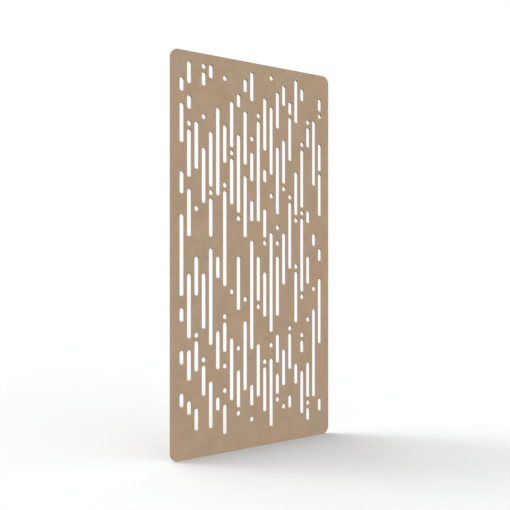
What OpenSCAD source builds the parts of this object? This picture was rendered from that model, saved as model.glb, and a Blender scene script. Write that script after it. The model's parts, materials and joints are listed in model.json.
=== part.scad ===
// Hanging room divider panel: one perforated board, hung from two threaded
// inserts that are let into its top edge.
// The origin is the middle of the top edge, between the two inserts. The board
// hangs down -Z, is wide along X, and its front face looks towards -Y.

/* [Board] */
// Width of the board
board_w = 1200; // [1000:10:1500]
// Height of the board
board_h = 2400; // [2100:10:3000]
// Thickness of the board
board_t = 12; // [10:0.5:25]
// Radius of the four corners
corner_r = 50; // [5:1:70]

/* [Perforation] */
// Width of the slots and diameter of the dots
slot_w = 30; // [10:1:35]
// From a side edge to the centre line of the nearest column
side_margin = 75; // [60:1:120]
// From the top edge to the centre line of the first row
top_margin = 75; // [60:1:150]
// From the bottom edge to the centre line of the last row
bottom_margin = 125; // [60:1:200]

/* [Hanging inserts] */
// Distance between the two inserts, centre to centre
insert_spacing = 800; // [300:10:840]
// Outer diameter of an insert
insert_d = 7; // [6:0.1:8]
// Length of an insert
insert_len = 12; // [8:0.5:20]
// Tapping bore for the M5 hanging bolt
thread_bore_d = 4.2; // [3.3:0.1:4.8]
// Glue line between an insert and its pocket, on the radius
glue_gap = 0.05; // [0.03:0.01:0.2]
// Free depth under an insert for the tip of the bolt
tip_room = 4; // [1:0.5:10]

/* [Insert knurling] */
// Number of knurl grooves around an insert
knurl_count = 18; // [8:1:20]
// Diameter of the round tool that cuts a knurl groove
knurl_tool_d = 0.6; // [0.3:0.1:0.8]
// Depth of a knurl groove
knurl_depth = 0.2; // [0.1:0.05:0.25]
// Width of the plain neck between the two knurled bands
neck_len = 2; // [1:0.5:4]
// Depth of the neck, which the glue fills
neck_depth = 0.35; // [0.2:0.05:0.45]
// Chamfer at the leading end
lead_chamfer = 0.5; // [0.2:0.1:0.6]

/* [Hidden] */
$fn = 64;
// Cutters run past the faces that they cut by this much
over = 1;

// One list for each column, from the left as seen from the front. Each pair is
// the first and the last row that a cut reaches, counted from 0 at the top. A
// cut is a round-ended slot, or a round dot where both rows are the same.
CUTS = [
    [[2, 3], [5, 9], [13, 15], [18, 27], [29, 30], [34, 35], [39, 40]],
    [[0, 2], [4, 5], [7, 7], [8, 13], [15, 20], [25, 32], [34, 37], [40, 41]],
    [[7, 12], [17, 17], [23, 27], [32, 32], [33, 36], [41, 43]],
    [[0, 0], [1, 2], [6, 6], [10, 16], [25, 31], [35, 35], [36, 39]],
    [[0, 1], [8, 14], [15, 15], [16, 20], [22, 33], [38, 43]],
    [[5, 15], [23, 25], [32, 36], [40, 41]],
    [[1, 1], [7, 11], [14, 14], [15, 26], [30, 30], [31, 34], [36, 36], [39, 39], [41, 44]],
    [[4, 9], [10, 10], [11, 16], [27, 27], [33, 40]],
    [[3, 4], [8, 17], [18, 18], [23, 29], [34, 34], [37, 41], [42, 42]],
    [[1, 2], [5, 11], [13, 20], [28, 28], [31, 39]],
    [[0, 3], [8, 8], [10, 13], [16, 18], [21, 34], [39, 41], [43, 43]],
    [[5, 5], [6, 18], [23, 28], [29, 29], [34, 40]],
    [[3, 9], [12, 13], [17, 20], [21, 21], [25, 30], [36, 36], [37, 42]],
    [[0, 0], [4, 12], [15, 15], [20, 32], [34, 34], [36, 44]],
    [[2, 6], [9, 17], [19, 19], [21, 21], [23, 30], [33, 36], [38, 40], [41, 41]],
    [[1, 3], [8, 13], [14, 14], [20, 26], [35, 39], [42, 42]],
    [[3, 4], [5, 10], [15, 15], [16, 24], [32, 32], [33, 37], [41, 42]],
    [[0, 5], [12, 17], [18, 18], [24, 24], [25, 31], [37, 39]],
    [[1, 2], [8, 8], [9, 16], [17, 17], [18, 27], [28, 28], [33, 33], [34, 35], [38, 43]],
    [[5, 5], [6, 8], [17, 18], [23, 26], [31, 31], [37, 41], [42, 42], [43, 44]],
    [[5, 13], [20, 21], [27, 27], [30, 41]],
    [[2, 3], [4, 4], [8, 11], [12, 17], [22, 23], [26, 34], [42, 43]]
];
last_column = len(CUTS) - 1;
last_row = max([for (column = CUTS) for (cut = column) cut[1]]);
column_pitch = (board_w - 2 * side_margin) / last_column;
row_pitch = (board_h - top_margin - bottom_margin) / last_row;

insert_r = insert_d / 2;
knurl_tool_r = knurl_tool_d / 2;

function column_x(column) = column * column_pitch - board_w / 2 + side_margin;
function row_z(row) = -top_margin - row * row_pitch;

// Children once at each of the two hanging points
module at_hanging_points() {
    for (side = [-1, 1])
        translate([side * insert_spacing / 2, 0, 0])
            children();
}

// Flat outline in X and Z, given the board's thickness about Y = 0
module through_y(thickness) {
    rotate([90, 0, 0])
        linear_extrude(thickness, center = true)
            children();
}

module rounded_outline() {
    for (x = [corner_r - board_w / 2, board_w / 2 - corner_r])
        for (z = [corner_r - board_h, -corner_r])
            translate([x, z])
                circle(corner_r);
    translate([corner_r - board_w / 2, -board_h])
        square([board_w - 2 * corner_r, board_h]);
    translate([-board_w / 2, corner_r - board_h])
        square([board_w, board_h - 2 * corner_r]);
}

// A round-ended slot from row line to row line, or a dot where they are one
module cut_outline(x, rows) {
    top_z = row_z(rows[0]);
    bottom_z = row_z(rows[1]);
    translate([x, top_z])
        circle(d = slot_w);
    if (rows[1] > rows[0]) {
        translate([x, bottom_z])
            circle(d = slot_w);
        translate([x - slot_w / 2, bottom_z])
            square([slot_w, top_z - bottom_z]);
    }
}

module insert_pocket() {
    depth = insert_len + tip_room;
    translate([0, 0, -depth])
        cylinder(h = depth + over, d = insert_d + 2 * glue_gap);
}

module panel() {
    color([0.675, 0.584, 0.486])
        difference() {
            through_y(board_t)
                difference() {
                    rounded_outline();
                    for (column = [0 : last_column])
                        for (rows = CUTS[column])
                            cut_outline(column_x(column), rows);
                }
            at_hanging_points()
                insert_pocket();
        }
}

// Turned body: two bands with a neck between them, chamfered at the lower end
module insert_body() {
    neck_top = -(insert_len - neck_len) / 2;
    neck_bottom = neck_top - neck_len;
    neck_r = insert_r - neck_depth;
    rotate_extrude()
        polygon([
            [0, 0],
            [insert_r, 0],
            [insert_r, neck_top],
            [neck_r, neck_top],
            [neck_r, neck_bottom],
            [insert_r, neck_bottom],
            [insert_r, lead_chamfer - insert_len],
            [insert_r - lead_chamfer, -insert_len],
            [0, -insert_len]
        ]);
}

module knurl_grooves() {
    for (i = [0 : knurl_count - 1])
        rotate(i * 360 / knurl_count)
            translate([insert_r + knurl_tool_r - knurl_depth, 0, -insert_len - over])
                cylinder(h = insert_len + 2 * over, r = knurl_tool_r, $fn = 16);
}

module threaded_insert() {
    difference() {
        insert_body();
        knurl_grooves();
        translate([0, 0, -insert_len - over])
            cylinder(h = insert_len + 2 * over, d = thread_bore_d);
    }
}

module hanging_inserts() {
    color([0.78, 0.62, 0.30])
        at_hanging_points()
            threaded_insert();
}

panel();
hanging_inserts();
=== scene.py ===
"""Hanging divider panel: one perforated fibreboard sheet with two threaded inserts in its top edge.

Lengths are in metres. The origin is the middle of the top edge at mid thickness, the board hangs
down -Z and its front looks towards -Y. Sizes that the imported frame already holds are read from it.
"""

import json
import math
from functools import reduce
from typing import NamedTuple

import bmesh
import bpy
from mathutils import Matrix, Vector


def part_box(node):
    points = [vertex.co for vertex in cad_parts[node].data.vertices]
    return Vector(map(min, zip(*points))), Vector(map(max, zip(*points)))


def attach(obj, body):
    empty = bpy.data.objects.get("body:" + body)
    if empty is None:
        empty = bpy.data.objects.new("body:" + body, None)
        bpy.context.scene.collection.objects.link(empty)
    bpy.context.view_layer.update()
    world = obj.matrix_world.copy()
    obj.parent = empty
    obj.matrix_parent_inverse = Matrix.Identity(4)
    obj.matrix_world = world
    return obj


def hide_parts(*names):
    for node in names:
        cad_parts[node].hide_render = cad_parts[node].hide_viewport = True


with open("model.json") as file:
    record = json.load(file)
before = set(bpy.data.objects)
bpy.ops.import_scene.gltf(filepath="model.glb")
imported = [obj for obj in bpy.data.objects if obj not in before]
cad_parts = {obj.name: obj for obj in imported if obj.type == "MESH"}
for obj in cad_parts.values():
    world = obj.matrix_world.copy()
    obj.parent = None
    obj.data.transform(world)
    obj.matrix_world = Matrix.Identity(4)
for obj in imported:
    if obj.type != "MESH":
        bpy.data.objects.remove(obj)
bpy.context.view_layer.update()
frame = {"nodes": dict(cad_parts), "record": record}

bl_info = {
    "name": "Hanging Divider Panel",
    "version": (1, 0, 0),
    "blender": (4, 5, 0),
    "location": "View3D > Sidebar > Divider",
    "description": "Dresses a perforated hanging board around its packed frame",
    "category": "Add Mesh",
}

MM = 0.001
QUARTER_TURN = math.pi / 2
# Points closer than this are one point, and a height this close to a face lies on it
JOINED = 0.01 * MM


# ---------------- sizes read from the frame


def merged_copy(node):
    """A working copy of a frame node, with its loose triangles joined at their corners."""
    mesh = bmesh.new()
    mesh.from_mesh(frame["nodes"][node].data)
    bmesh.ops.remove_doubles(mesh, verts=mesh.verts, dist=JOINED)
    return mesh


def closed_rims(edges):
    """The corner points of these edges, as one list for each rim that they form."""
    beside = {}
    for edge in edges:
        for here, there in (edge.verts, reversed(edge.verts)):
            beside.setdefault(here, []).append(there)
    rims = []
    while beside:
        rim, waiting = [], [next(iter(beside))]
        while waiting:
            corner = waiting.pop()
            if corner in beside:
                rim.append(corner.co.copy())
                waiting += beside.pop(corner)
        rims.append(rim)
    return rims


def middle_and_half(numbers):
    """Middle and half length of the span that these numbers cover."""
    return (max(numbers) + min(numbers)) / 2, (max(numbers) - min(numbers)) / 2


def measure_board():
    """Outline, cuts and pockets of the frame's board, the sizes under their labels in its tree. A
    cut is its centre in X and Z and its reach, from there to the middle of a round end."""
    low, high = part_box("panel")
    mesh = merged_copy("panel")
    front = {f for f in mesh.faces if all(abs(v.co.y - low.y) < JOINED for v in f.verts)}
    rims = closed_rims(e for e in mesh.edges if sum(f in front for f in e.link_faces) == 1)
    rims.sort(key=lambda rim: middle_and_half([p.x for p in rim])[1])
    *cut_rims, outline = rims
    straight_top = max(abs(p.x) for p in outline if p.z > high.z - JOINED)
    cuts, radius = [], 0
    for rim in cut_rims:
        x, half = middle_and_half([p.x for p in rim])
        z = middle_and_half([p.z for p in rim])[0]
        reach = max(abs(p.z - z) for p in rim if abs(p.x - x) > half - JOINED)
        cuts.append((x, z, reach))
        radius = max(radius, half)
    # Only the pockets have corners well inside the thickness, and one of the two is enough
    pocket = [v.co.copy() for v in mesh.verts if abs(v.co.y) < high.y - MM and v.co.x > 0]
    mesh.free()
    if not (cuts and pocket and radius):
        raise RuntimeError("the frame's board shows no cuts or no insert pockets")
    return {
        "cuts": sorted(cuts),
        "Board Width": high.x - low.x,
        "Board Height": high.z - low.z,
        "Board Thickness": high.y - low.y,
        "Corner Radius": high.x - straight_top,
        "Cut Radius": radius,
        "Pocket Radius": max(abs(p.y) for p in pocket),
        "Pocket Depth": high.z - min(p.z for p in pocket),
    }


def measure_inserts():
    """Spacing, radius, length and bore of the frame's inserts."""
    low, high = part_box("hanging_inserts")
    mounts = {mount["name"]: mount["dims"] for mount in frame["record"]["mounts"]}
    points = mounts["hanging_points"]
    return {
        "spacing": points["spacing_x_mm"] * MM,
        "radius": high.y,
        "length": high.z - low.z,
        "bore_radius": points["hole_r_mm"] * MM,
    }


BOARD = measure_board()
INSERT = measure_inserts()


# ---------------- settings


class DividerBoardSettings(bpy.types.PropertyGroup):
    """Edges, steps and colours of the board"""

    eased_edge: bpy.props.FloatProperty(
        name="Eased Edge",
        description="Radius sanded on to every edge of the board and of its cuts",
        default=0.8 * MM,
        min=0.1 * MM,
        max=2 * MM,
        unit="LENGTH",
        subtype="DISTANCE",
    )
    land: bpy.props.FloatProperty(
        name="Land",
        description="Flat border kept between an eased edge and the open face",
        default=0.6 * MM,
        min=0.1 * MM,
        max=3 * MM,
        unit="LENGTH",
        subtype="DISTANCE",
    )
    pocket_chamfer: bpy.props.FloatProperty(
        name="Pocket Chamfer",
        description="Chamfer round the mouth of each insert pocket",
        default=0.3 * MM,
        min=0.05 * MM,
        max=1 * MM,
        unit="LENGTH",
        subtype="DISTANCE",
    )
    cut_steps: bpy.props.IntProperty(
        name="Cut Steps",
        description="Faces along each quarter turn of a cut's round end",
        default=10,
        min=3,
        max=16,
    )
    corner_steps: bpy.props.IntProperty(
        name="Corner Steps",
        description="Faces along each of the board's round corners",
        default=16,
        min=4,
        max=32,
    )
    ease_steps: bpy.props.IntProperty(
        name="Ease Steps",
        description="Faces across an eased edge",
        default=2,
        min=1,
        max=4,
    )
    face_colour: bpy.props.FloatVectorProperty(
        name="Face Colour",
        description="Sanded face of the raw fibreboard",
        default=(0.428, 0.308, 0.207),
        min=0,
        max=1,
        size=3,
        subtype="COLOR",
    )
    # Set darker than the face as painted shade: it dims the cut walls and edges, which the lamps
    # light more brightly than the face
    cut_colour_and_shade: bpy.props.FloatVectorProperty(
        name="Cut Colour",
        description="Rougher core, a little darker, that shows on the cut walls and edges",
        default=(0.35, 0.267, 0.193),
        min=0,
        max=1,
        size=3,
        subtype="COLOR",
    )


class DividerInsertSettings(bpy.types.PropertyGroup):
    """Thread, knurling and colour of the inserts"""

    thread_pitch: bpy.props.FloatProperty(
        name="Thread Pitch",
        description="Rise of the thread in one turn",
        default=0.8 * MM,
        min=0.4 * MM,
        max=2 * MM,
        unit="LENGTH",
        subtype="DISTANCE",
    )
    thread_root: bpy.props.FloatProperty(
        name="Thread Root Radius",
        description="Radius at the root of the thread, which is half the bolt's size",
        default=2.5 * MM,
        min=1.5 * MM,
        max=4 * MM,
        unit="LENGTH",
        subtype="DISTANCE",
    )
    neck_length: bpy.props.FloatProperty(
        name="Neck Length",
        description="Plain neck between the two knurled bands",
        default=2 * MM,
        min=0.5 * MM,
        max=4 * MM,
        unit="LENGTH",
        subtype="DISTANCE",
    )
    neck_depth: bpy.props.FloatProperty(
        name="Neck Depth",
        description="How far the neck is turned down",
        default=0.35 * MM,
        min=0.1 * MM,
        max=0.5 * MM,
        unit="LENGTH",
        subtype="DISTANCE",
    )
    lead_chamfer: bpy.props.FloatProperty(
        name="Lead Chamfer",
        description="Chamfer at the lower end, which starts the insert in its pocket",
        default=0.5 * MM,
        min=0.1 * MM,
        max=0.8 * MM,
        unit="LENGTH",
        subtype="DISTANCE",
    )
    rim_chamfer: bpy.props.FloatProperty(
        name="Rim Chamfer",
        description="Fine chamfer round the top rim and the mouth of the thread",
        default=0.12 * MM,
        min=0.05 * MM,
        max=0.3 * MM,
        unit="LENGTH",
        subtype="DISTANCE",
    )
    knurl_count: bpy.props.IntProperty(
        name="Knurl Count",
        description="Grooves round each knurled band",
        default=18,
        min=8,
        max=36,
    )
    knurl_depth: bpy.props.FloatProperty(
        name="Knurl Depth",
        description="Depth of a knurl groove",
        default=0.2 * MM,
        min=0.05 * MM,
        max=0.3 * MM,
        unit="LENGTH",
        subtype="DISTANCE",
    )
    brass_colour: bpy.props.FloatVectorProperty(
        name="Brass Colour",
        description="Turned brass of the inserts",
        default=(0.57, 0.34, 0.075),
        min=0,
        max=1,
        size=3,
        subtype="COLOR",
    )


class DividerStageSettings(bpy.types.PropertyGroup):
    """Camera, floor and lamps"""

    camera_azimuth: bpy.props.FloatProperty(
        name="Camera Azimuth",
        description="Angle of the camera round the board, from straight in front",
        default=math.radians(-35.05),
        min=-math.pi,
        max=math.pi,
        unit="ROTATION",
        subtype="ANGLE",
    )
    camera_distance: bpy.props.FloatProperty(
        name="Camera Distance",
        description="From the camera to the middle of the board",
        default=4.4403,
        min=2,
        max=12,
        unit="LENGTH",
        subtype="DISTANCE",
    )
    floor_colour: bpy.props.FloatVectorProperty(
        name="Floor Colour",
        description="Pale floor, at which the open floor renders white",
        default=(0.5, 0.503, 0.506),
        min=0,
        max=1,
        size=3,
        subtype="COLOR",
    )
    bounce_colour: bpy.props.FloatVectorProperty(
        name="Bounce Colour",
        description="How much light the floor throws back on to the board",
        default=(0.06, 0.06, 0.06),
        min=0,
        max=1,
        size=3,
        subtype="COLOR",
    )
    sky_strength: bpy.props.FloatProperty(
        name="Sky Strength",
        description="Even light from all round, which is white where this is 1",
        default=1.0,
        min=0,
        max=3,
    )


# ---------------- node trees


class Field:
    """A number that flows through a node tree, so that a rule reads as plain arithmetic."""

    def __init__(self, socket):
        self.socket = socket

    def calc(self, operation, *others):
        feeds = dict(enumerate((self, *others)))
        return Field(put(self.socket.id_data, "ShaderNodeMath", feeds, operation=operation))

    def __add__(self, other):
        return self.calc("ADD", other)

    def __sub__(self, other):
        return self.calc("SUBTRACT", other)

    def __mul__(self, other):
        return self.calc("MULTIPLY", other)

    def __truediv__(self, other):
        return self.calc("DIVIDE", other)

    def __neg__(self):
        return self * -1

    def __rsub__(self, other):
        return -self + other

    def __rtruediv__(self, other):
        return self.calc("POWER", -1) * other

    __radd__, __rmul__ = __add__, __mul__

    def floor(self):
        return self.calc("FLOOR")

    def size(self):
        return self.calc("ABSOLUTE")

    def sign(self):
        return self.calc("SIGN")

    def cos(self):
        return self.calc("COSINE")

    def sin(self):
        return self.calc("SINE")

    def at_least(self, other):
        return self.calc("MAXIMUM", other)

    def at_most(self, other):
        return self.calc("MINIMUM", other)

    def clipped(self):
        """Held between 0 and 1."""
        return self.at_least(0).at_most(1)

    def rise(self, start, end):
        """0 up to the start, 1 from the end on, and straight in between."""
        return ((self - start) / (end - start)).clipped()

    def swing(self, strength):
        """How far a noise from 0 to 1 swings to either side of its middle."""
        return (self - 0.5) * strength


def feed_socket(socket, value):
    """Feeds an input with a field, with another socket or with a plain value."""
    value = value.socket if isinstance(value, Field) else value
    if isinstance(value, bpy.types.NodeSocket):
        socket.id_data.links.new(value, socket)
    else:
        socket.default_value = value


def put(tree, kind, feeds=(), output=0, **settings):
    """Adds a node, sets it and feeds its inputs, and gives one output, or the node for None."""
    made = tree.nodes.new(kind)
    for name, value in settings.items():
        setattr(made, name, value)
    for key, value in dict(feeds).items():
        feed_socket(made.inputs[key], value)
    return made if output is None else made.outputs[output]


def new_tree(name, kind, inputs, outputs):
    """An empty group with named sockets, and its inputs by name, numbers as fields. A socket is
    listed with its kind, or with the number that it starts from."""
    tree, feed = bpy.data.node_groups.new(name, kind), {}
    numbers = {int: "Int", float: "Float"}
    for direction, sockets in (("INPUT", inputs), ("OUTPUT", outputs)):
        for label, given in sockets.items():
            socket_type = "NodeSocket" + numbers.get(type(given), given)
            socket = tree.interface.new_socket(label, in_out=direction, socket_type=socket_type)
            if type(given) in numbers:
                socket.default_value = given
    for socket in tree.nodes.new("NodeGroupInput").outputs:
        if socket.name in inputs:
            number = type(inputs[socket.name]) in numbers
            feed[socket.name] = Field(socket) if number else socket
    return tree, feed


def close_tree(tree, **results):
    """Wires the results to the group's outputs, whose names have spaces for underscores."""
    feeds = {name.replace("_", " "): value for name, value in results.items()}
    put(tree, "NodeGroupOutput", feeds, output=None)
    return tree


def use_group(tree, group, feeds, output=0):
    """Places a group in a tree with its own values."""
    kind = "GeometryNodeGroup" if tree.bl_idname == "GeometryNodeTree" else "ShaderNodeGroup"
    return put(tree, kind, feeds, output, node_tree=group)


def built_once(name, build):
    """A group that more than one material may place, built when it is first asked for."""
    return bpy.data.node_groups.get(name) or build()


def vector(tree, x=0, y=0, z=0):
    return put(tree, "ShaderNodeCombineXYZ", {"X": x, "Y": y, "Z": z})


def vector_math(tree, operation, *vectors):
    return put(tree, "ShaderNodeVectorMath", dict(enumerate(vectors)), operation=operation)


def parts(tree, kind, value):
    """The three numbers of a vector or a colour."""
    return [Field(socket) for socket in put(tree, kind, {0: value}, output=None).outputs]


# ---------------- geometry trees


# Added before rounding down, so that a whole number that comes out a little low stays whole
NUDGE = 0.001
# Faces that meet more sharply than this show a crisp edge
CRISP_ANGLE = math.radians(35)
# Turns what lies flat upright, and back
UPRIGHT, FLAT = (QUARTER_TURN, 0, 0), (-QUARTER_TURN, 0, 0)


def join(tree, *geometries):
    made = put(tree, "GeometryNodeJoinGeometry", output=None)
    for geometry in geometries:
        feed_socket(made.inputs[0], geometry)
    return made.outputs[0]


def merged(tree, *geometries):
    feeds = {"Geometry": join(tree, *geometries), "Distance": JOINED}
    return put(tree, "GeometryNodeMergeByDistance", feeds)


def moved(tree, geometry, offset=(0, 0, 0), turn=(0, 0, 0)):
    feeds = {"Geometry": geometry, "Translation": offset, "Rotation": turn}
    return put(tree, "GeometryNodeTransform", feeds)


def on_points(tree, points, shape):
    """A copy of a shape on every point, made real."""
    copies = put(tree, "GeometryNodeInstanceOnPoints", {"Points": points, "Instance": shape})
    return put(tree, "GeometryNodeRealizeInstances", {"Geometry": copies})


def hanging_points(tree, spacing):
    """The two points of the top edge that the board hangs from."""
    first, step = vector(tree, -spacing / 2), vector(tree, spacing)
    feeds = {"Count": 2, "Start Location": first, "Offset": step}
    return put(tree, "GeometryNodeMeshLine", feeds)


def named_number(tree, name):
    return Field(put(tree, "GeometryNodeInputNamedAttribute", {"Name": name}, data_type="FLOAT"))


def store_number(tree, geometry, name, value):
    feeds = {"Geometry": geometry, "Name": name, "Value": value}
    return put(
        tree, "GeometryNodeStoreNamedAttribute", feeds, data_type="FLOAT", domain="POINT"
    )


def place(tree):
    """X, Y and Z of what the tree is looking at."""
    return parts(tree, "ShaderNodeSeparateXYZ", put(tree, "GeometryNodeInputPosition"))


def compared(tree, a, operation, b, **feeds):
    feeds = {"A": a, "B": b, **feeds}
    return put(tree, "FunctionNodeCompare", feeds, operation=operation, data_type="FLOAT")


def same_number(tree, a, b):
    """True where two numbers differ by less than the joining distance."""
    return compared(tree, a, "EQUAL", b, Epsilon=JOINED)


def finish_tree(tree, geometry, material):
    """Smooth faces between crisp edges, made real and given their material."""
    geometry = put(tree, "GeometryNodeSetShadeSmooth", {"Geometry": geometry}, domain="FACE")
    angle = put(tree, "GeometryNodeInputMeshEdgeAngle")
    crisp = compared(tree, angle, "GREATER_THAN", CRISP_ANGLE)
    feeds = {"Geometry": geometry, "Selection": crisp, "Shade Smooth": False}
    geometry = put(tree, "GeometryNodeSetShadeSmooth", feeds, domain="EDGE")
    geometry = put(tree, "GeometryNodeRealizeInstances", {"Geometry": geometry})
    feeds = {"Geometry": geometry, "Material": material}
    return close_tree(tree, Geometry=put(tree, "GeometryNodeSetMaterial", feeds))


def across_the_wall(feed, row, rows):
    """Where a row of a wall's grid lies: how far its edge has turned from the face to the wall,
    how far it stands out from the wall, and its depth. The rows run over a flat land and an
    eased edge, and then over the same backwards."""
    ease, middle = feed["Eased Edge"], (rows - 1) / 2
    row = row - middle
    step = middle - row.size()
    turned = (step - 1).at_least(0) / feed["Ease Steps"]
    lean = turned * QUARTER_TURN
    outward = ease * (1 - lean.sin()) + feed["Land"] * (1 - step).at_least(0)
    depth = row.sign() * (feed["Thickness"] / 2 - ease * (1 - lean.cos()))
    return turned, outward, depth


def around_the_ring(steps, column):
    """Where a column of a wall's grid lies: its angle, and the end in X and in Z that it is at.
    The ring is four quarter turns, each about its own corner."""
    quarter = (column / (steps + 1) + NUDGE).floor()
    angle = (quarter + (column - quarter * (steps + 1)) / steps) * QUARTER_TURN
    corner = (quarter + 0.5) * QUARTER_TURN
    return angle, corner.cos().sign(), corner.sin().sign()


def eased_ring_group():
    """One closed wall with eased edges at both faces. It follows a rounded rectangle in X and Z,
    or a circle where the rectangle is a point, and runs across the thickness along Y."""
    inputs = {
        "Half Width": 0.0,
        "Half Height": 0.0,
        "Radius": 0.01,
        "Solid Side": 1.0,
        "Thickness": 0.01,
        "Eased Edge": 0.001,
        "Land": 0.001,
        "Quarter Steps": 8,
        "Ease Steps": 2,
    }
    tree, feed = new_tree("Eased Ring", "GeometryNodeTree", inputs, {"Geometry": "Geometry"})
    steps = feed["Quarter Steps"]
    columns, rows = 4 * (steps + 1) + 1, 2 * (feed["Ease Steps"] + 2)
    ring = put(tree, "GeometryNodeMeshGrid", {"Vertices X": columns, "Vertices Y": rows})
    index = Field(put(tree, "GeometryNodeInputIndex"))
    column = (index / rows + NUDGE).floor()
    turned, outward, depth = across_the_wall(feed, index - column * rows, rows)
    angle, end_x, end_z = around_the_ring(steps, column)
    radius = feed["Radius"] + outward * feed["Solid Side"]
    spot = vector(
        tree,
        end_x * feed["Half Width"] + radius * angle.cos(),
        depth,
        end_z * feed["Half Height"] + radius * angle.sin(),
    )
    # Both are stored before the move, while every point still has its place in the grid
    ring = store_number(tree, ring, "cut_share", turned)
    ring = store_number(tree, ring, "end", end_z)
    ring = put(tree, "GeometryNodeSetPosition", {"Geometry": ring, "Position": spot})
    return close_tree(tree, Geometry=ring)


def board_walls(tree, feed):
    """The wall of every cut and of the outline, which hangs below the origin."""
    ring = eased_ring_group()
    shared = {name: feed[name] for name in ("Eased Edge", "Land", "Ease Steps")}
    shared["Thickness"] = feed["Board Thickness"]
    # A round cut on every point that the mesh brings in, then pulled out to its own reach
    own = {"Radius": feed["Cut Radius"], "Quarter Steps": feed["Cut Steps"]}
    cuts = on_points(tree, feed["Geometry"], use_group(tree, ring, {**shared, **own}))
    pull = vector(tree, z=named_number(tree, "end") * named_number(tree, "reach"))
    cuts = put(tree, "GeometryNodeSetPosition", {"Geometry": cuts, "Offset": pull})
    corner, height = feed["Corner Radius"], feed["Board Height"]
    own = {
        "Half Width": feed["Board Width"] / 2 - corner,
        "Half Height": height / 2 - corner,
        "Radius": corner,
        "Solid Side": -1.0,
        "Quarter Steps": feed["Corner Steps"],
    }
    outline = use_group(tree, ring, {**shared, **own})
    return merged(tree, cuts, moved(tree, outline, vector(tree, z=-height / 2)))


def flat_face(tree, walls):
    """A face between the open front edges of the walls, laid flat about the origin."""
    open_edge = same_number(tree, put(tree, "GeometryNodeInputMeshEdgeNeighbors"), 1)
    front = compared(tree, place(tree)[1], "LESS_THAN", 0.0)
    feeds = {0: open_edge, 1: front}
    rim = put(tree, "FunctionNodeBooleanMath", feeds, operation="AND")
    curve = put(tree, "GeometryNodeMeshToCurve", {"Mesh": walls, "Selection": rim})
    curve = moved(tree, curve, turn=FLAT)
    return put(tree, "GeometryNodeFillCurve", {"Curve": curve}, mode="TRIANGLES")


def without_top_strip(tree, walls):
    """The walls less the straight part of the top edge, which is laid again round the pockets."""
    on_top = same_number(tree, place(tree)[2], 0.0)
    feeds = {"Geometry": walls, "Selection": on_top}
    return put(tree, "GeometryNodeDeleteGeometry", feeds, domain="FACE", mode="ONLY_FACE")


def top_strip(tree, feed, points, mouth_radius):
    """The straight part of the top edge, with a round mouth for each pocket."""
    width = feed["Board Width"] - 2 * feed["Corner Radius"]
    depth = feed["Board Thickness"] - 2 * feed["Eased Edge"]
    feeds = {"Width": width, "Height": depth}
    strip = put(tree, "GeometryNodeCurvePrimitiveQuadrilateral", feeds)
    feeds = {"Resolution": feed["Pocket Steps"], "Radius": mouth_radius}
    mouths = on_points(tree, points, put(tree, "GeometryNodeCurvePrimitiveCircle", feeds))
    feeds = {"Curve": join(tree, strip, mouths)}
    return put(tree, "GeometryNodeFillCurve", feeds, mode="TRIANGLES")


def tube(tree, steps, top, bottom, height, foot):
    """An open round wall about Z, from its radius at the top to its radius at the bottom."""
    feeds = {"Vertices": steps, "Radius Top": top, "Radius Bottom": bottom, "Depth": height}
    wall = put(tree, "GeometryNodeMeshCone", feeds, fill_type="NONE")
    return moved(tree, wall, vector(tree, z=foot))


def pockets(tree, feed, points, mouth_radius):
    """The pockets of the inserts: chamfer, wall and flat bottom."""
    steps, radius, depth = feed["Pocket Steps"], feed["Pocket Radius"], feed["Pocket Depth"]
    chamfer = feed["Pocket Chamfer"]
    bevel = tube(tree, steps, mouth_radius, radius, chamfer, -chamfer)
    wall = tube(tree, steps, radius, radius, depth - chamfer, -depth)
    feeds = {"Vertices": steps, "Radius": radius}
    bottom = put(tree, "GeometryNodeMeshCircle", feeds, fill_type="NGON")
    bottom = moved(tree, bottom, vector(tree, z=-depth))
    return on_points(tree, points, join(tree, bevel, wall, bottom))


def board_tree():
    """Cuts the board: a wall round the outline and round every cut, faces between them, and the
    top edge with its two pockets."""
    inputs = {
        "Geometry": "Geometry",
        "Board Width": 1.2,
        "Board Height": 2.4,
        "Board Thickness": 0.012,
        "Corner Radius": 0.05,
        "Cut Radius": 0.015,
        "Eased Edge": 0.001,
        "Land": 0.001,
        "Cut Steps": 8,
        "Corner Steps": 16,
        "Ease Steps": 2,
        "Insert Spacing": 0.8,
        "Pocket Radius": 0.0035,
        "Pocket Depth": 0.016,
        "Pocket Chamfer": 0.0003,
        "Pocket Steps": 32,
        "Material": "Material",
    }
    tree, feed = new_tree("Perforated Board", "GeometryNodeTree", inputs, {"Geometry": "Geometry"})
    walls = board_walls(tree, feed)
    face, half = flat_face(tree, walls), feed["Board Thickness"] / 2
    front = moved(tree, face, vector(tree, y=-half), UPRIGHT)
    back = moved(tree, face, vector(tree, y=half), UPRIGHT)
    points = hanging_points(tree, feed["Insert Spacing"])
    mouth_radius = feed["Pocket Radius"] + feed["Pocket Chamfer"]
    top = top_strip(tree, feed, points, mouth_radius)
    edge_work = join(tree, top, pockets(tree, feed, points, mouth_radius))
    edge_work = store_number(tree, edge_work, "cut_share", 1.0)
    board = merged(tree, without_top_strip(tree, walls), front, back, edge_work)
    return finish_tree(tree, board, feed["Material"])


def insert_tree():
    """Sets one finished insert at each of the two hanging points."""
    inputs = {"Geometry": "Geometry", "Insert Spacing": 0.8, "Material": "Material"}
    tree, feed = new_tree("Inserts In Place", "GeometryNodeTree", inputs, {"Geometry": "Geometry"})
    points = hanging_points(tree, feed["Insert Spacing"])
    return finish_tree(tree, on_points(tree, points, feed["Geometry"]), feed["Material"])


# ---------------- materials


# How much the distance through the sheet counts, so that more hairs show on its faces
THROUGH_WEIGHT = 0.3
# The solid share of a hair's half width, the shortest hair as a share of the longest, and how
# sharply a hair ends
SOLID_SHARE, SHORTEST_HAIR, END_SHARPNESS = 0.5, 0.4, 6
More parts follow.
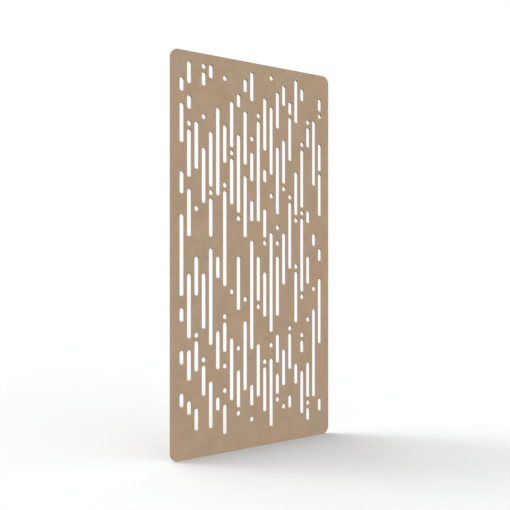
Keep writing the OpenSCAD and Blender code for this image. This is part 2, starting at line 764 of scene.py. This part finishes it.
# Strands up to this number are dark hairs, and those above it are pale ones
DARK_SHARE, DARK_GAIN, PALE_GAIN = 0.4, 2.5, 1.7
# Half width and half length of a hair in the cell that it lies in
HAIR_SHAPE = {"Half Width": 0.1, "Half Length": 0.75}
# Scale of the push that bends the hairs and how far it reaches, and scale of the felt, all
# against the size of the fibres
PUSH_SCALE, PUSH_REACH, FELT_SCALE = 0.6, 0.9, 1.5
# Where each scatter of hairs starts, so that no two lie alike, and the size of its hairs
HAIR_LAYERS = (
    ((0.0, 0.0, 0.0), 1.0),
    ((0.31, 0.17, 0.53), 1.6),
    ((0.7, 0.4, 0.2), 1.2),
    ((0.15, 0.62, 0.41), 0.55),
)

# The cutter's marks run on along Y, across the thickness
CUTTER_STRETCH = (1.0, 0.06, 1.0)

# Tints of a colour, channel by channel
WARM, COOL = (1.02, 0.995, 0.97), (0.985, 1.005, 1.03)
RUBBED, TARNISHED = (1.1, 1.1, 1.1), (0.62, 0.55, 0.6)

# Size of one lathe mark along the brass
LATHE_PITCH = 0.09 * MM


def noise(tree, spot, scale, detail, roughness=0.5):
    """A soft noise from 0 to 1."""
    feeds = {"Vector": spot, "Scale": scale, "Detail": detail, "Roughness": roughness}
    return Field(put(tree, "ShaderNodeTexNoise", feeds))


def hair_group():
    """One short straight hair in every cell of a scatter, each lying its own way in X and Z."""
    inputs = {"Vector": "Vector", "Scale": 500.0, "Half Width": 0.08, "Half Length": 0.6}
    outputs = {"Hair": "Float", "Strand": "Float"}
    tree, feed = new_tree("Scattered Hairs", "ShaderNodeTree", inputs, outputs)
    spot, scale = feed["Vector"], feed["Scale"]
    feeds = {"Vector": spot, "Scale": scale}
    cell = put(tree, "ShaderNodeTexVoronoi", feeds, output=None).outputs
    away = vector_math(tree, "SUBTRACT", spot, cell["Position"])
    x, y, z = (part * scale for part in parts(tree, "ShaderNodeSeparateXYZ", away))
    turn, strand, reach = parts(tree, "ShaderNodeSeparateColor", cell["Color"])
    turn = turn * math.pi
    along = x * turn.cos() + z * turn.sin()
    aside = z * turn.cos() - x * turn.sin()
    from_line = (aside * aside + y * y * THROUGH_WEIGHT).calc("SQRT")
    width = 1 - (from_line / feed["Half Width"] - SOLID_SHARE).clipped()
    length = feed["Half Length"] * (SHORTEST_HAIR + reach * (1 - SHORTEST_HAIR))
    ends = ((length - along.size()) * END_SHARPNESS).clipped()
    return close_tree(tree, Hair=width * ends, Strand=strand)


def pushed_space(tree, spot, scale):
    """A gently pushed space, in which straight hairs lie in slight curves."""
    feeds = {"Vector": spot, "Scale": scale * PUSH_SCALE, "Detail": 1.0}
    push = put(tree, "ShaderNodeTexNoise", feeds, output="Color")
    reach = PUSH_REACH / scale
    return vector_math(tree, "MULTIPLY_ADD", push, vector(tree, reach, reach, reach), spot)


def scattered_hairs(tree, space, scale):
    """Masks of the pale and of the dark hairs. In each layer the strand number makes one hair
    pale and strong and the next dark or faint."""
    hairs = hair_group()
    pale_layers, dark_layers = [], []
    for shift, size in HAIR_LAYERS:
        spot = vector_math(tree, "ADD", space, shift)
        feeds = {"Vector": spot, "Scale": scale / size, **HAIR_SHAPE}
        layer = use_group(tree, hairs, feeds, output=None)
        hair, strand = (Field(socket) for socket in layer.outputs)
        pale_layers.append(hair * (strand - DARK_SHARE).at_least(0) * PALE_GAIN)
        dark_layers.append(hair * (DARK_SHARE - strand).at_least(0) * DARK_GAIN)
    return reduce(Field.at_least, pale_layers), reduce(Field.at_least, dark_layers)


def fibre_group():
    """Look of pressed wood fibre: soft clouds, felted grain, hairs lying every way, relief."""
    inputs = {"Vector": "Vector", "Cloud Scale": 5.0, "Fibre Scale": 300.0}
    outputs = dict.fromkeys(("Cloud", "Felt", "Pale Hairs", "Dark Hairs", "Relief"), "Float")
    tree, feed = new_tree("Pressed Fibre", "ShaderNodeTree", inputs, outputs)
    spot, scale = feed["Vector"], feed["Fibre Scale"]
    felt = noise(tree, spot, scale * FELT_SCALE, detail=4.0, roughness=0.7)
    pale, dark = scattered_hairs(tree, pushed_space(tree, spot, scale), scale)
    return close_tree(
        tree,
        Cloud=noise(tree, spot, feed["Cloud Scale"], detail=7.0, roughness=1.0),
        Felt=felt,
        Pale_Hairs=pale,
        Dark_Hairs=dark,
        Relief=felt * 0.5 + pale * 0.4 - dark * 0.2,
    )


def worn_edge_group():
    """Mask of a handled edge: full on the edge itself, and broken up along its length."""
    inputs = {"Vector": "Vector", "Edge": 0.0, "Break Up Scale": 100.0, "Break Up": 0.5}
    tree, feed = new_tree("Worn Edge", "ShaderNodeTree", inputs, {"Mask": "Float"})
    patch = noise(tree, feed["Vector"], feed["Break Up Scale"], detail=3.0)
    broken = 1 - feed["Break Up"] * (1 - patch.rise(0.35, 0.65))
    return close_tree(tree, Mask=feed["Edge"] * broken)


def new_material(name):
    """An empty material with its tree, and the spot that its textures start from."""
    material = bpy.data.materials.new(name)
    material.use_nodes = True
    tree = material.node_tree
    tree.nodes.clear()
    return material, tree, put(tree, "ShaderNodeTexCoord", output="Object")


def finish_material(tree, looks):
    shader = put(tree, "ShaderNodeBsdfPrincipled", looks)
    put(tree, "ShaderNodeOutputMaterial", {"Surface": shader}, output=None)


def carried(tree, name):
    """A number that the piece's mesh carries."""
    return Field(put(tree, "ShaderNodeAttribute", output="Fac", attribute_name=name))


def worn_edge(tree, spot, edge, scale):
    group = built_once("Worn Edge", worn_edge_group)
    return Field(use_group(tree, group, {"Vector": spot, "Edge": edge, "Break Up Scale": scale}))


def relief_normal(tree, height, strength, distance):
    feeds = {"Height": height, "Strength": strength, "Distance": distance}
    return put(tree, "ShaderNodeBump", feeds)


def mixed(tree, share, a, b):
    """One colour or the other, by a share from 0 to 1."""
    return put(tree, "ShaderNodeMix", {0: share, 6: a, 7: b}, output=2, data_type="RGBA")


def toned(tree, colour, tone):
    """A colour made lighter or darker by a factor."""
    colour = colour[:3] if isinstance(colour, tuple) else colour
    return put(tree, "ShaderNodeVectorMath", {0: colour, "Scale": tone}, operation="SCALE")


def opaque(colour, tint=(1, 1, 1)):
    """A colour of the settings, tinted, as the four channels that a socket takes."""
    return (*[min(1.0, channel * gain) for channel, gain in zip(colour, tint)], 1.0)


class Fibre(NamedTuple):
    """What the pressed fibre group gives at a spot."""

    cloud: Field
    felt: Field
    pale: Field
    dark: Field
    relief: Field


def with_fibre(tone, fibre, felt, pale, dark):
    """A tone with the felt and the hairs worked in, each as strongly as its number says."""
    return tone + fibre.felt.swing(felt) + fibre.pale * pale - fibre.dark * dark


def sanded_face(tree, settings, spot, fibre):
    """Colour of a face: warm and cool patches, then clouds, felt and hairs as tone."""
    drift = noise(tree, spot, scale=4.5, detail=2.0).rise(0.35, 0.65)
    warm, cool = opaque(settings.face_colour, WARM), opaque(settings.face_colour, COOL)
    clouds = 1 + fibre.cloud.swing(0.68)
    tone = with_fibre(clouds, fibre, felt=0.22, pale=0.16, dark=0.2)
    return toned(tree, mixed(tree, drift, warm, cool), tone)


def cutter_marks(tree, spot):
    """Marks that the cutter left, drawn out across the thickness."""
    drawn_out = vector_math(tree, "MULTIPLY", spot, CUTTER_STRETCH)
    return noise(tree, drawn_out, scale=900.0, detail=2.0)


def routed_wall(tree, settings, spot, fibre, marks):
    """Colour of a cut's wall: cutter marks and felt, with darker skins towards both faces, on a cut
    colour darkened as painted shade.
    """
    across = parts(tree, "ShaderNodeSeparateXYZ", spot)[1]
    skin = (across.size() / (BOARD["Board Thickness"] / 2)).rise(0.72, 0.97)
    # The cut colour carries painted shade, darker than the face so that the lit walls come out
    # dimmer
    shaded_core, face = opaque(settings.cut_colour_and_shade), opaque(settings.face_colour)
    tone = with_fibre(1 + marks.swing(0.24), fibre, felt=0.34, pale=0.1, dark=0.14)
    return toned(tree, mixed(tree, skin * 0.6, shaded_core, face), tone - skin * 0.07)


def board_material(settings):
    """Raw medium density fibreboard, sanded on its faces and routed through its cuts."""
    material, tree, spot = new_material("raw_fibreboard")
    group = built_once("Pressed Fibre", fibre_group)
    feeds = {"Vector": spot, "Cloud Scale": 5.0, "Fibre Scale": 640.0}
    fibre = Fibre(*map(Field, use_group(tree, group, feeds, output=None).outputs))
    # 0 on the faces and 1 on the walls, and in between on the eased edges
    share = carried(tree, "cut_share")
    marks = cutter_marks(tree, spot)
    face = sanded_face(tree, settings, spot, fibre)
    colour = mixed(tree, share, face, routed_wall(tree, settings, spot, fibre, marks))
    # The eased edge itself is rubbed a little paler than the face
    edge = worn_edge(tree, spot, 4 * share * (1 - share), scale=60.0)
    colour = mixed(tree, edge * 0.35, colour, opaque(settings.face_colour, RUBBED))
    height = fibre.relief * (1 - share * 0.5) + marks * share * 0.8
    finish_material(
        tree,
        {
            "Base Color": colour,
            "Roughness": 0.84 + fibre.dark * 0.06 - fibre.pale * 0.05 + share * 0.1,
            "Specular IOR Level": 0.2,
            "Normal": relief_normal(tree, height, strength=0.35, distance=0.2 * MM),
        },
    )
    return material


def brass_material(settings):
    """Turned brass with fine lathe marks, dulled in the open and rubbed bright on its rims."""
    material, tree, spot = new_material("turned_brass")
    patch = noise(tree, spot, scale=700.0, detail=4.0)
    fine = noise(tree, spot, scale=9000.0, detail=2.0)
    edge = worn_edge(tree, spot, carried(tree, "rim"), scale=900.0)
    dull = patch.rise(0.4, 0.7) * (1 - edge)
    bright, tarnish = opaque(settings.brass_colour), opaque(settings.brass_colour, TARNISHED)
    colour = mixed(tree, dull * 0.8, bright, tarnish)
    groove = (carried(tree, "lathe") * (2 * math.pi / LATHE_PITCH)).sin()
    height = groove * 0.5 + fine
    finish_material(
        tree,
        {
            "Base Color": toned(tree, colour, 0.84 + fine.swing(0.16) + edge * 0.16),
            "Metallic": 1.0,
            "Roughness": 0.38 + dull * 0.2 + fine * 0.08 - edge * 0.1,
            "Normal": relief_normal(tree, height, strength=0.25, distance=0.01 * MM),
        },
    )
    return material


def seen_share(tree):
    """1 where the camera looks, straight or by a reflection or through glass, and else 0."""
    path = put(tree, "ShaderNodeLightPath", output=None).outputs
    rays = [Field(path[f"Is {kind} Ray"]) for kind in ("Camera", "Glossy", "Transmission")]
    return reduce(Field.at_least, rays)


def floor_material(settings):
    """Plain pale studio floor, brushed on with the faintest mottle."""
    material, tree, spot = new_material("studio_floor")
    tone = 1 + noise(tree, spot, scale=9.0, detail=3.0).swing(0.01)
    seen = toned(tree, opaque(settings.floor_colour), tone)
    colour = mixed(tree, seen_share(tree), opaque(settings.bounce_colour), seen)
    finish_material(tree, {"Base Color": colour, "Roughness": 0.95, "Specular IOR Level": 0.0})
    return material


# ---------------- pieces


def new_object(name, data):
    made = bpy.data.objects.new(name, data)
    bpy.context.scene.collection.objects.link(made)
    return made


def carry_number(mesh, name, values):
    """Gives every point of a mesh its own number, under a name that trees can read."""
    mesh.attributes.new(name, "FLOAT", "POINT").data.foreach_set("value", values)


def by_label(settings):
    """The values of a settings group by their labels, which the tree's inputs share."""
    return {item.name: getattr(settings, item.identifier) for item in settings.bl_rna.properties}


def run_tree(piece, tree, values):
    """Runs a geometry tree on a piece once and keeps the result as its plain mesh. Values that
    the tree has no input for are left out."""
    modifier = piece.modifiers.new(tree.name, "NODES")
    modifier.node_group = tree
    for item in tree.interface.items_tree:
        if item.item_type == "SOCKET" and item.in_out == "INPUT" and item.name in values:
            modifier[item.identifier] = values[item.name]
    bpy.context.view_layer.update()
    depsgraph = bpy.context.evaluated_depsgraph_get()
    made = bpy.data.meshes.new_from_object(
        piece.evaluated_get(depsgraph), preserve_all_data_layers=True, depsgraph=depsgraph
    )
    piece.modifiers.remove(modifier)
    bare, piece.data = piece.data, made
    bpy.data.meshes.remove(bare)
    made.name = piece.name


def close_solid(piece):
    """Turns every face of a piece outwards, and stops if the piece isn't closed."""
    mesh = bmesh.new()
    mesh.from_mesh(piece.data)
    bmesh.ops.remove_doubles(mesh, verts=mesh.verts, dist=JOINED / 2)
    bmesh.ops.dissolve_degenerate(mesh, edges=mesh.edges, dist=JOINED / 10)
    bmesh.ops.recalc_face_normals(mesh, faces=mesh.faces)
    open_edges = sum(len(edge.link_faces) != 2 for edge in mesh.edges)
    volume = mesh.calc_volume(signed=True)
    mesh.to_mesh(piece.data)
    mesh.free()
    if open_edges or volume <= 0:
        raise RuntimeError(f"{piece.name} has {open_edges} open edges and volume {volume}")


def cut_layout():
    """A point at the centre of every cut, which carries the cut's reach."""
    layout = bpy.data.meshes.new("cut_layout")
    layout.from_pydata([(x, 0, z) for x, z, _ in BOARD["cuts"]], [], [])
    carry_number(layout, "reach", [reach for _, _, reach in BOARD["cuts"]])
    return layout


class DIVIDER_OT_make_board(bpy.types.Operator):
    """Cut the perforated board from one sheet, with eased edges and insert pockets"""

    bl_idname = "divider.make_board"
    bl_label = "Make Board"

    def execute(self, context):
        settings = context.scene.divider_board
        board = new_object("perforated_board", cut_layout())
        own = {"Insert Spacing": INSERT["spacing"], "Material": board_material(settings)}
        run_tree(board, board_tree(), {**BOARD, **by_label(settings), **own})
        close_solid(board)
        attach(board, "root")
        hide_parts("panel")
        return {"FINISHED"}


# Steps round a knurl groove, and half the groove's width as a share of one knurl
KNURL_STEPS, GROOVE_HALF_WIDTH = 8, 0.24
# Rows in one pitch of the thread, and the shares of half a pitch that are crest and flank
THREAD_ROWS, CREST_SHARE, FLANK_SHARE = 6, 0.12, 0.7


class Ring(NamedTuple):
    """One ring of an insert's section: where it lies, how rubbed it is and how it is cut."""

    radius: float
    height: float
    rubbed: float = 0
    knurled: bool = False
    threaded: bool = False


def bore_rings(settings):
    """The thread, which ends one chamfer inside either end of the insert."""
    length, chamfer = INSERT["length"], settings.rim_chamfer
    threaded = length - 2 * chamfer
    rows = round(threaded / settings.thread_pitch * THREAD_ROWS)
    heights = (-length + chamfer + threaded * row / rows for row in range(rows + 1))
    return [Ring(settings.thread_root, height, rubbed=0.1, threaded=True) for height in heights]


def insert_section(settings):
    """Section of an insert as one closed run: the top, down the outside, and up the bore."""
    radius, length, chamfer = INSERT["radius"], INSERT["length"], settings.rim_chamfer
    neck_top = -(length - settings.neck_length) / 2
    neck_bottom = neck_top - settings.neck_length
    neck = radius - settings.neck_depth
    mouth, lead = settings.thread_root + chamfer, settings.lead_chamfer
    return [
        Ring(mouth, 0, rubbed=0.6),
        Ring(mouth + chamfer, 0),
        Ring(radius - 2 * chamfer, 0),
        Ring(radius - chamfer, 0, rubbed=0.6, knurled=True),
        Ring(radius, -chamfer, rubbed=1, knurled=True),
        Ring(radius, -2 * chamfer, rubbed=0.4, knurled=True),
        Ring(radius, neck_top + chamfer, rubbed=0.3, knurled=True),
        Ring(radius - chamfer, neck_top, rubbed=0.6, knurled=True),
        Ring(neck, neck_top),
        Ring(neck, neck_bottom),
        Ring(radius - chamfer, neck_bottom, rubbed=0.6, knurled=True),
        Ring(radius, neck_bottom - chamfer, rubbed=0.3, knurled=True),
        Ring(radius, lead - length, rubbed=0.3, knurled=True),
        Ring(radius - lead, -length, rubbed=0.3),
        Ring(mouth, -length, rubbed=0.3),
        *bore_rings(settings),
    ]


def groove_depth(settings, turn):
    """How deep the knurling is cut at this share of a turn."""
    from_groove = abs((turn * settings.knurl_count + 0.5) % 1 - 0.5)
    return settings.knurl_depth * max(0, 1 - (from_groove / GROOVE_HALF_WIDTH) ** 2)


def thread_radius(settings, turn, height):
    """Radius of the bore at this share of a turn, between the thread's crest and its root."""
    crest, root = INSERT["bore_radius"], settings.thread_root
    from_crest = abs((height / settings.thread_pitch - turn) % 1 * 2 - 1)
    return crest + (root - crest) * min(1, max(0, (from_crest - CREST_SHARE) / FLANK_SHARE))


def closed_grid(columns, rows):
    """Faces of a grid of points, column by column, that closes on itself both ways."""
    faces = []
    for column in range(columns):
        here, there = column * rows, (column + 1) % columns * rows
        for row in range(rows):
            after = (row + 1) % rows
            faces.append((here + row, here + after, there + after, there + row))
    return faces


def insert_mesh(settings):
    """One insert about the Z axis, turned from its section, knurled outside, threaded inside."""
    section, columns = insert_section(settings), KNURL_STEPS * settings.knurl_count
    points, rubbed, lathe = [], [], []
    for column in range(columns):
        turn = column / columns
        angle, groove = 2 * math.pi * turn, groove_depth(settings, turn)
        for ring in section:
            radius = ring.radius - groove * ring.knurled
            if ring.threaded:
                radius = thread_radius(settings, turn, ring.height)
            points.append((radius * math.cos(angle), radius * math.sin(angle), ring.height))
            rubbed.append(ring.rubbed)
            lathe.append(radius + ring.height)
    mesh = bpy.data.meshes.new("insert")
    mesh.from_pydata(points, [], closed_grid(columns, len(section)))
    carry_number(mesh, "rim", rubbed)
    carry_number(mesh, "lathe", lathe)
    return mesh


class DIVIDER_OT_make_inserts(bpy.types.Operator):
    """Turn, knurl and thread the two brass inserts and set them in the top edge"""

    bl_idname = "divider.make_inserts"
    bl_label = "Make Inserts"

    def execute(self, context):
        settings = context.scene.divider_inserts
        inserts = new_object("threaded_inserts", insert_mesh(settings))
        own = {"Insert Spacing": INSERT["spacing"], "Material": brass_material(settings)}
        run_tree(inserts, insert_tree(), own)
        close_solid(inserts)
        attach(inserts, "root")
        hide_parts("hanging_inserts")
        return {"FINISHED"}


# ---------------- stage


# The floor reaches almost to the horizon
FLOOR_RADIUS, FLOOR_STEPS = 400.0, 96
LENS, SENSOR_WIDTH = 50, 36
LAMP_DISTANCE = 6
# Name, azimuth and elevation that it shines from, strength, and the angle that it spans
LAMPS = (
    ("low_key", -137, 20, 2.4, 25),
    ("high_key", -145, 55, 2.0, 60),
    ("front_fill", 15, 20, 1.4, 60),
    ("side_fill", 60, 45, 0.3, 30),
)


def make_floor(settings):
    """A wide round floor that just meets the board's lower edge."""
    mesh = bmesh.new()
    bmesh.ops.create_circle(mesh, cap_ends=True, radius=FLOOR_RADIUS, segments=FLOOR_STEPS)
    bmesh.ops.translate(mesh, verts=mesh.verts, vec=(0, 0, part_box("panel")[0].z))
    data = bpy.data.meshes.new("studio_floor")
    mesh.to_mesh(data)
    mesh.free()
    data.materials.append(floor_material(settings))
    floor = new_object("studio_floor", data)


def make_world(settings):
    """Even light from all round, which is white to look at where its strength is 1."""
    world = bpy.data.worlds.new("studio")
    world.use_nodes = True
    bpy.context.scene.world = world
    tree = world.node_tree
    tree.nodes.clear()
    feeds = {"Color": (1, 1, 1, 1), "Strength": settings.sky_strength}
    light = put(tree, "ShaderNodeBackground", feeds)
    put(tree, "ShaderNodeOutputWorld", {"Surface": light}, output=None)


def bearing(azimuth, elevation=0):
    """The way out from the board at an angle round it, from straight in front, and upwards."""
    flat = math.cos(elevation)
    return Vector((math.sin(azimuth) * flat, -math.cos(azimuth) * flat, math.sin(elevation)))


def set_up(name, data, target, back, distance):
    """Puts a lamp or a camera back from its target and turns it towards the target."""
    holder = new_object(name, data)
    holder.rotation_mode = "QUATERNION"
    holder.rotation_quaternion = back.to_track_quat("Z", "Y")
    holder.location = target + back * distance
    return holder


def make_lamps():
    for name, azimuth, elevation, strength, span in LAMPS:
        lamp = bpy.data.lights.new(name, "SUN")
        lamp.energy = strength
        lamp.angle = math.radians(span)
        back = bearing(math.radians(azimuth), math.radians(elevation))
        set_up(name, lamp, Vector((0, 0, 0)), back, LAMP_DISTANCE)


def make_camera(settings):
    camera = bpy.data.cameras.new("camera")
    camera.lens, camera.sensor_width = LENS, SENSOR_WIDTH
    low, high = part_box("panel")
    back = bearing(settings.camera_azimuth)
    holder = set_up("camera", camera, (low + high) / 2, back, settings.camera_distance)
    bpy.context.scene.camera = holder


class DIVIDER_OT_make_stage(bpy.types.Operator):
    """Lay the pale floor and set the lamps, the white surround and the camera"""

    bl_idname = "divider.make_stage"
    bl_label = "Make Stage"

    def execute(self, context):
        settings = context.scene.divider_stage
        make_floor(settings)
        make_world(settings)
        make_lamps()
        make_camera(settings)
        context.scene.view_settings.view_transform = "Standard"
        return {"FINISHED"}


# ---------------- add-on


class DIVIDER_PT_panel(bpy.types.Panel):
    """Sizes, colours and making of the hanging divider"""

    bl_idname = "DIVIDER_PT_panel"
    bl_label = "Hanging Divider"
    bl_space_type = "VIEW_3D"
    bl_region_type = "UI"
    bl_category = "Divider"

    def draw(self, context):
        for group, operator in (
            ("divider_board", DIVIDER_OT_make_board),
            ("divider_inserts", DIVIDER_OT_make_inserts),
            ("divider_stage", DIVIDER_OT_make_stage),
        ):
            box = self.layout.box()
            settings = getattr(context.scene, group)
            for name in settings.__annotations__:
                box.prop(settings, name)
            box.operator(operator.bl_idname)


CLASSES = (
    DividerBoardSettings,
    DividerInsertSettings,
    DividerStageSettings,
    DIVIDER_OT_make_board,
    DIVIDER_OT_make_inserts,
    DIVIDER_OT_make_stage,
    DIVIDER_PT_panel,
)


def register():
    for made in CLASSES:
        bpy.utils.register_class(made)
    scene = bpy.types.Scene
    scene.divider_board = bpy.props.PointerProperty(type=DividerBoardSettings)
    scene.divider_inserts = bpy.props.PointerProperty(type=DividerInsertSettings)
    scene.divider_stage = bpy.props.PointerProperty(type=DividerStageSettings)


def unregister():
    for name in ("divider_stage", "divider_inserts", "divider_board"):
        delattr(bpy.types.Scene, name)
    for made in reversed(CLASSES):
        bpy.utils.unregister_class(made)


def main():
    register()
    bpy.ops.divider.make_board()
    bpy.ops.divider.make_inserts()
    bpy.ops.divider.make_stage()


if __name__ == "__main__":
    main()
